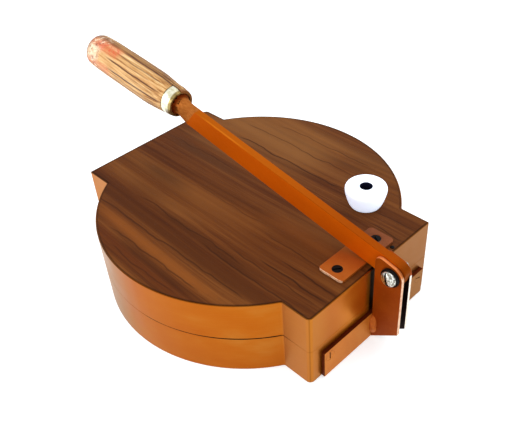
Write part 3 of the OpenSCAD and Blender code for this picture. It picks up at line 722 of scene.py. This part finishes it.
def board_blank(name, inset, low, high):
    """A solid with the board's outline, drawn back by inset from the outside of the bands."""
    blank = rod(name, DISC_R - inset, (0, 0, low), (0, 0, high), 240)
    body = block(
        name + "_body", (inset - HALF_W, inset - HALF_L, low), (HALF_W - inset, HALF_L - inset, high)
    )
    work_on(body)
    for soft, radius in ((True, 3.95 - inset), (False, 1.25 - inset)):
        pick(body, "EDGE", lambda p, d: abs(d.z) > 0.9 and (p.x * p.y > 0) == soft)
        round_off(radius, 8)
    weld_to(blank, body)
    corner = math.sqrt((DISC_R - inset) ** 2 - (HALF_W - inset) ** 2)
    work_on(blank)
    bpy.ops.mesh.select_all(action="SELECT")
    bpy.ops.mesh.dissolve_limited(angle_limit=0.008)
    pick(
        blank, "EDGE",
        lambda p, d: abs(d.z) > 0.9 and abs(abs(p.x) - HALF_W + inset) < 0.1 and abs(abs(p.y) - corner) < 0.8,
    )
    round_off(0.54 * (2 + inset), 6)
    put_down()
    return blank


def wooden_boards():
    base = board_blank("base_walnut", 1.05, 0.0, 33.7)
    soften(base, 0.5, 3, 60)
    smooth(clean(base), 40)
    lid = copy_of(base, "lid_walnut", Matrix.Translation((0, 0, 34.0 * MM)))
    dress(lid, "lid", "board_wood", WALNUT, "lid_board")
    dress(base, "base", "board_wood", PLAIN_WALNUT, "base_board")


def copper_bands():
    band = board_blank("base_copper_band", 0, 0.3, 33.8)
    work_on(band)
    pick(band, "FACE", lambda p, n: abs(n.z) > 0.9)
    bpy.ops.mesh.delete(type="FACE")
    put_down()
    finish_with(band, "SOLIDIFY", thickness=1.0 * MM, offset=-1, use_even_offset=True)
    soften(band, 0.22, 2, 60)
    smooth(clean(band), 40)
    lid_band = copy_of(band, "lid_copper_band", Matrix.Translation((0, 0, 33.6 * MM)))
    dress(lid_band, "lid", "copper_sheet", SHEET, "lid_band")
    dress(band, "base", "copper_sheet", SHEET, "base_band")


wooden_boards()
copper_bands()


# Screws


def slotted_screw(name, radius, domed=0.0, cut=0.6):
    """A screw head with its face up at the origin, and its slot along Y."""
    rings = [(radius - 2.0, -2.0), (radius, -0.15), (radius, 0)]
    if domed:
        rings += [(radius * 0.72, domed * 0.6), (radius * 0.3, domed)]
    head = turned(name, rings, 40)
    slot = block("slot", (-cut, -radius * 0.8, -1.1), (cut, radius * 0.8, domed + 1))
    drill(head, slot)
    soften(head, 0.12, 2, 40)
    return smooth(clean(head), 35)


def upright(x, y, z, turn):
    """The place of a screw that is driven down, its slot turned from Y."""
    return Matrix.Translation(Vector((x, y, z)) * MM) @ Matrix.Rotation(turn, 4, "Z")


# Clevis on the front


def clevis_strap():
    low_x, high_x = CLEVIS_X - 59.1, CLEVIS_X + 59.1
    strap = block("clevis_strap_plate", (low_x, STRAP_FACE, 0.5), (high_x, STRAP_FACE + 3.2, 25.9))
    for side in (-1, 1):
        x = CLEVIS_X + side * 53.1
        drill(strap, rod("hole", 4.24, (x, STRAP_FACE - 1, 19.55), (x, STRAP_FACE + 2, 19.55), 48))
    soften(strap, 0.45, 3, 60)
    smooth(clean(strap), 35)
    # Painted shade: the strap's top and left end faces are dark brown.
    finish_faces(strap, PAINTED_SHADE_BROWN, lambda p, n: n.x < -0.7 or n.z > 0.7)
    dress(strap, "base", "copper_paint", LACQUER, "clevis_strap")
    places = [
        Matrix.Translation(Vector((CLEVIS_X + side * 53.1, STRAP_FACE + 0.06, 19.55)) * MM)
        @ Matrix.Rotation(math.radians(90), 4, "X") @ Matrix.Rotation(turn, 4, "Z")
        for side, turn in ((-1, 0.0), (1, 1.2))
    ]
    screws = set_of("strap_screw_heads", slotted_screw("strap_screw_heads", 4.2, cut=0.5), places)
    # Painted shade inside the left screw's slot.
    finish_faces(screws, PAINTED_SHADE_BROWN, lambda p, n: STRAP_FACE + 0.3 < p.y < STRAP_FACE + 1.4 and p.x < 0)
    dress(screws, "base", "copper_paint", LACQUER, "strap_screws")


def clevis_ears():
    """Side plates of the clevis: the top slopes from a rounded back corner to the round at the pivot."""
    low_x, high_x = -3.2, -0.6
    front, back, slope = -157.3, STRAP_FACE, math.tan(math.radians(13.46))
    left = block("clevis_ear_left_plate", (low_x, front, 0.5), (high_x, back, 90))
    work_on(left)
    split_off(left, (0, -150.16, 81.64), (0, -slope, 1))
    split_off(left, (0, front, 18.5), (0, -18.0, -23.4))
    pick(left, "EDGE", lambda p, d: abs(d.x) > 0.9 and p.z > 75 and p.y < front + 1)
    round_off(7.33, 14)
    pick(left, "EDGE", lambda p, d: abs(d.x) > 0.9 and p.z > 80 and p.y > back - 0.5)
    round_off(6.34, 12)
    put_down()
    drill(left, rod("hole", 3.25, (low_x - 1, PIVOT.y, PIVOT.z), (high_x + 1, PIVOT.y, PIVOT.z), 48))
    soften(left, 0.35, 3, 50)
    smooth(clean(left), 35)
    right = copy_of(left, "clevis_ear_right_plate", Matrix.Translation((9.0 * MM, 0, 0)))
    finish_faces(left, BARE_EDGE, lambda p, n: n.y < -0.3 and abs(n.x) < 0.75 and p.z < 81)
    # Painted shade: the inner and back faces are nearly black.
    finish_faces(left, INNER_SHADE, lambda p, n: n.x > 0.7 or n.y > 0.7)
    # Painted highlight: the ear's top faces take a paler lacquer.
    finish_faces(left, EAR_TOP_HIGHLIGHT, lambda p, n: n.z > 0.35 and n.x < 0.6 and p.z > 74)
    # Painted highlight: the right ear's front edge is near white below its top.
    finish_faces(right, CREAM_EDGE, lambda p, n: n.y < -0.6 and abs(n.x) < 0.75 and p.z < 62)
    # Painted shade: the inner and back faces are nearly black.
    finish_faces(right, INNER_SHADE, lambda p, n: n.x < -0.7 or n.y > 0.7)
    dress(left, "base", "copper_paint", EAR_LACQUER, "clevis_ear_left")
    dress(right, "base", "copper_paint", EAR_LACQUER, "clevis_ear_right")


def clevis_welds():
    """A rippled bead in each corner between the strap and the ears."""
    ripple = bpy.data.textures.new("weld_ripple", "WOOD")
    ripple.wood_type = "BANDNOISE"
    ripple.noise_scale = 0.0016
    ripple.turbulence = 4
    lump = bpy.data.textures.new("weld_lump", "CLOUDS")
    lump.noise_scale = 0.004
    bead = ball("clevis_weld_beads", (CLEVIS_X - 4.1, STRAP_FACE + 0.2, 14.4), (5.4, 6.2, 11.5), 40, 40)
    finish_with(bead, "DISPLACE", texture=lump, strength=0.0012, mid_level=1.0, texture_coords="LOCAL")
    finish_with(bead, "DISPLACE", texture=ripple, strength=0.0005, mid_level=1.0, texture_coords="LOCAL")
    smooth(bead, 60)
    places = [Matrix.Identity(4), Matrix.Translation((8.2 * MM, 0, 0))]
    dress(set_of("clevis_weld_beads", bead, places), "base", "copper_paint", WELD, "clevis_welds")


clevis_strap()
clevis_ears()
clevis_welds()


# Pivot bolt, its head on the left


def pivot_set():
    sideways = Matrix.Translation(PIVOT * MM) @ Matrix.Rotation(-math.radians(90), 4, "Y")
    # Along this frame's Z the left ear's outer face is at 5.8
    head = turned(
        "bolt_head",
        [(3.2, 6.0), (3.2, 7.8), (6.1, 7.81), (6.1, 8.9), (5.8, 9.8), (4.9, 10.65), (3.7, 11.3), (2.1, 11.7), (0.6, 11.8)],
        56,
    )
    shank = rod("bolt_shank", 3.2, (0, 0, -10.1), (0, 0, 7.8), 40)
    slot = block("slot", (-9, -0.8, 9.9), (9, 0.8, 13))
    slot.matrix_world = Matrix.Rotation(math.radians(19), 4, "Z")
    drill(head, settle(slot))
    across = Vector((-math.sin(math.radians(19)), math.cos(math.radians(19)), 0))
    # Painted shade: the faces of the slot are black.
    finish_faces(head, BLACK, lambda p, n: abs(p.dot(across)) < 0.9 and p.z > 9.85 and (n.z > 0.9 or abs(n.dot(across)) > 0.9))
    soften(head, 0.12, 2, 38)
    soften(shank, 0.3, 2, 60)
    smooth(clean(head), 40)
    smooth(shank, 40)
    bolt = settle(gather("pivot_bolt_slotted", [head, shank]), sideways)
    dress(bolt, "base", "zinc", ZINC, "pivot_bolt")
    for name, low, high, finish, slot_name, node in (
        ("head_washer_black", 5.8, 7.8, BLACK, "black_steel", "head_washer"),
        ("nut_washer_bright", -6.8, -5.8, ZINC, "zinc", "nut_washer"),
    ):
        washer = rod(name, 7.5, (0, 0, low), (0, 0, high), 56)
        drill(washer, rod("hole", 3.25, (0, 0, low - 1), (0, 0, high + 1), 40))
        soften(washer, 0.25, 2, 60)
        dress(settle(smooth(clean(washer), 35), sideways), "base", slot_name, finish, node)
    nut = rod("pivot_nut_hex", 5.77, (0, 0, -9.3), (0, 0, -6.8), 6)
    drill(nut, rod("hole", 3.25, (0, 0, -10), (0, 0, -6), 40))
    soften(nut, 0.3, 2, 50)
    dress(settle(smooth(clean(nut), 35), sideways), "base", "zinc", ZINC, "pivot_nut")


pivot_set()


# Lid's top: wear plate and knob


def wear_plate():
    plate = block("wear_plate_lacquered", (-27.6, -124.5, 67.7), (32.8, -102.0, 70.1))
    work_on(plate)
    pick(plate, "EDGE", lambda p, d: abs(d.z) > 0.9)
    round_off(3.0, 6)
    put_down()
    for x in (-19.3, 24.5):
        drill(plate, rod("sink", 1.86, (x, -113.25, 67.5), (x, -113.25, 70.9), 48, 5.12))
    soften(plate, 0.35, 3, 40)
    smooth(clean(plate), 35)
    finish_faces(plate, BARE_EDGE, lambda p, n: n.x < -0.6 and p.x < -25)
    dress(plate, "lid", "copper_paint", PLATE_LACQUER, "wear_plate")
    places = [upright(x, -113.25, 69.85, turn) for x, turn in ((-19.3, 0.9), (24.5, -0.5))]
    screws = set_of("wear_plate_screw_heads", slotted_screw("wear_plate_screw_heads", 4.1), places)
    dress(screws, "lid", "black_steel", BLACK, "wear_plate_screws")


def lid_knob():
    knob = turned(
        "lid_knob_white",
        [
            (10.8, 0), (12.3, 1.0), (13.5, 3.0), (14.6, 6.0), (15.6, 9.5), (16.45, 13.0), (16.7, 15.2), (16.6, 16.4),
            (16.2, 17.3), (15.4, 17.95), (14.2, 18.2), (6.0, 18.2), (5.2, 17.9), (4.8, 17.3), (4.6, 16.4), (4.5, 5.0),
        ],
        96,
    )
    place = Matrix.Translation(Vector((54, -80, LID_TOP)) * MM)
    smooth(settle(clean(knob), place), 50)
    well = Vector((54, -80, 0))
    finish_faces(knob, WELL_SHADE, lambda p, n: (p - well).xy.length < 5.0 and 72 < p.z < 85.5)
    dress(knob, "lid", "white_plastic", PLASTIC, "lid_knob")
    screw = settle(slotted_screw("knob_screw_head", 4.0, 1.1), upright(54, -80, LID_TOP + 6.4, 0.6))
    dress(screw, "lid", "black_steel", BLACK, "knob_screw")


def lid_nail():
    """A small dark nail head at the lid's front edge, beside the clevis."""
    nail = turned("lid_nail_head", [(0.7, -2.2), (0.8, 0.0), (1.7, 0.05), (1.7, 0.35), (1.3, 0.6), (0.2, 0.65)], 32)
    smooth(clean(nail), 40)
    settle(nail, Matrix.Translation(Vector((26.6, -127.0, LID_TOP)) * MM))
    dress(nail, "lid", "black_steel", BLACK)


wear_plate()
lid_knob()
lid_nail()


# Lever, ferrule and grip


def lever_bar():
    bar = block("lever_flat_bar", (-3, -8.6, -7.0), (3, 219, 11.4))
    work_on(bar)
    pick(bar, "EDGE", lambda p, d: abs(d.x) > 0.9 and p.y < -8)
    round_off(5.5, 10)
    pick(bar, "FACE", lambda p, n: n.y > 0.9)
    bpy.ops.mesh.delete(type="ONLY_FACE")
    pick(bar, "EDGE", lambda p, d: p.y > 218.9)
    bpy.ops.mesh.subdivide(number_cuts=7)
    mouth = (Matrix.Translation(Vector((0, 243.0, 4.5)) * MM) @ Matrix.Rotation(-math.radians(90) - GRIP_TILT, 4, "X")
             @ Matrix.Translation((0, 0, -13.2 * MM)))
    bpy.ops.mesh.primitive_circle_add(
        vertices=32, radius=7.7 * MM, fill_type="NOTHING", location=mouth.to_translation(), rotation=mouth.to_euler()
    )
    pick(bar, "EDGE", lambda p, d: p.y > 218.9)
    bpy.ops.mesh.bridge_edge_loops(number_cuts=8, interpolation="SURFACE", smoothness=0.7)
    pick(bar, "EDGE", lambda p, d: p.y > 229.0)
    along = mouth.to_3x3() @ Vector((0, 0, 1)) * MM
    for step, grow in ((1.2, 1.04), (1.0, 1.1), (0.6, 1.1)):
        bpy.ops.mesh.extrude_region_move(TRANSFORM_OT_translate={"value": along * step})
        mouth = Matrix.Translation(along * step) @ mouth
        bpy.ops.transform.resize(value=(grow, grow, grow), center_override=mouth.to_translation())
    bpy.ops.mesh.edge_face_add()
    put_down()
    drill(bar, rod("hole", 3.25, (-5, 0, 0), (5, 0, 0), 48))
    soften(bar, 0.55, 3, 42)
    smooth(clean(bar), 38)
    settle(bar, LEVER)
    dress(bar, "lever", "copper_paint", LEVER_LACQUER, "lever_bar")


def ferrule():
    tube = turned(
        "ferrule_pale_brass",
        [(12.9, 0.0), (12.9, -0.4), (12.9, -4.5), (12.75, -5.3), (11.75, -10.1), (11.4, -10.6), (9.9, -10.7), (9.8, -9.6)],
        72,
        GRIP,
    )
    smooth(clean(tube), 40)
    dress(tube, "lever", "ferrule_brass", PALE_BRASS, "ferrule")


def handle_grip():
    """The grip, a little uneven from whittling and wear, always inside its full turned size."""
    rings = [(10.4, -6.0), (10.5, -0.2), (13.3, -0.05), (13.6, 0.4)]
    for i in range(1, 9):
        rings.append((13.6 + 2.3 * math.sin(math.radians(90 * i / 8)), 0.4 + 30.0 * i / 8))
    rings += [(15.9, s) for s in (38, 46, 54, 62, 70, 78, 86)]
    rings += [(15.7, 94), (15.4, 100)]
    for i in range(0, 11):
        rings.append((15.1 * math.cos(math.radians(9 * i)) if i < 10 else 0.5, 104.4 + 8.0 * math.sin(math.radians(9 * i))))
    grip = turned("handle_grip_worn", rings, 96)
    lump = bpy.data.textures.new("grip_wear", "CLOUDS")
    lump.noise_scale = 0.018
    worn = bpy.data.textures.new("grip_chips", "CLOUDS")
    worn.noise_scale = 0.005
    finish_with(grip, "DISPLACE", texture=lump, strength=0.0005, mid_level=1.0, texture_coords="LOCAL")
    finish_with(grip, "DISPLACE", texture=worn, strength=0.0002, mid_level=1.0, texture_coords="LOCAL")
    # The tongue of wood over the right of the ferrule
    tongue = turned(
        "tongue", [(13.55, 0.6), (13.55, -0.5), (13.55, -4.6), (13.2, -6.2), (12.8, -9.8), (12.4, -11.3)], 96
    )
    drill(tongue, turned("room", [(12.95, 2.0), (12.95, -4.6), (11.8, -10.2), (11.45, -10.8), (10.1, -10.85), (10.0, -12)], 96))
    work_on(tongue)
    for turn, side in ((57.5, 1), (-57.5, -1)):
        a = math.radians(-26 + turn)
        split_off(tongue, (0, 0, 0), (-side * math.sin(a), side * math.cos(a), 0))
    bpy.ops.mesh.select_all(action="SELECT")
    bpy.ops.mesh.normals_make_consistent(inside=False)
    put_down()
    soften(tongue, 0.25, 2, 45)
    smooth(clean(tongue), 40)
    smooth(clean(grip), 40)
    grip = settle(gather("handle_grip_worn", [grip, tongue]), GRIP)
    dress(grip, "lever", "grip_wood", STRAW_WOOD, "handle_grip")


lever_bar()
ferrule()
handle_grip()


# CAD nodes that keep their shape get their finish here
for node_name, finish in (
    ("hinge_base_leaf_left", BRASS), ("hinge_base_leaf_right", BRASS),
    ("hinge_lid_leaf_left", BRASS), ("hinge_lid_leaf_right", BRASS),
    ("hinge_pin_left", BRASS), ("hinge_pin_right", BRASS),
    ("hinge_base_screws", DULL_BRASS), ("hinge_lid_screws", DULL_BRASS),
):
    cad_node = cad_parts[node_name]
    if not cad_node.data.materials:
        cad_node.data.materials.append(finish)
    for index in range(len(cad_node.data.materials)):
        cad_node.data.materials[index] = finish


# Floor, lights and camera


def floor():
    put_down()
    bpy.ops.mesh.primitive_plane_add(size=8, location=(0, 0, -0.0002))
    ground = started("studio_floor")
    f = Finish("studio_floor", (0.8, 0.8, 0.8, 1), 0.9, Emission_Color=(0.88, 0.97, 1.0, 1), Emission_Strength=0.47)
    mottle = f.noise(f.place(), 0.002, 2.0)
    f.colour(f.ramp(mottle, (0.3, (0.79, 0.79, 0.79, 1)), (0.7, (0.81, 0.81, 0.81, 1))))
    ground.data.materials.append(f.material)


def softbox(name, place, aim, width, height, power, colour=(1, 1, 1)):
    put_down()
    place, aim = Vector(place), Vector(aim)
    bpy.ops.object.light_add(
        type="AREA", location=place, rotation=(aim - place).to_track_quat("-Z", "Y").to_euler()
    )
    lamp = bpy.context.object
    lamp.name = lamp.data.name = name
    lamp.data.shape = "RECTANGLE"
    lamp.data.size, lamp.data.size_y = width, height
    lamp.data.energy = power
    lamp.data.color = colour
    return lamp


def studio():
    world = bpy.data.worlds.new("studio_air")
    bpy.context.scene.world = world
    world.use_nodes = True
    air = world.node_tree.nodes["Background"]
    air.inputs["Color"].default_value = (0.95, 0.97, 1.0, 1)
    air.inputs["Strength"].default_value = 1.08
    softbox("key_from_the_right", (0.9, -0.3, 1.6), (0, 0, 0.05), 1.2, 1.2, 7, (1.0, 0.98, 0.95))
    softbox("left_behind", (-1.3, 0.9, 0.7), (0, 0, 0.03), 1.2, 1.0, 15)
    softbox("front_fill", (-0.9, -1.6, 1.0), (0, -0.1, 0.05), 1.2, 1.0, 3)


def camera():
    put_down()
    bpy.ops.object.camera_add(location=(-0.293642, -0.342710, 0.412201))
    eye = bpy.context.object
    eye.name = eye.data.name = "photo_camera"
    right, up, back = (
        Vector((0.714299, -0.696898, -0.064108)),
        Vector((0.474000, 0.414365, 0.776934)),
        Vector((-0.514879, -0.585351, 0.626310)),
    )
    turn = Matrix((right, up, back)).transposed()
    eye.rotation_euler = turn.to_euler()
    eye.data.lens = 48.32
    eye.data.sensor_width = 36
    eye.data.sensor_fit = "HORIZONTAL"
    eye.data.clip_start, eye.data.clip_end = 0.01, 50
    bpy.context.scene.camera = eye


floor()
studio()
camera()
bpy.context.scene.view_settings.view_transform = "Standard"
put_down()
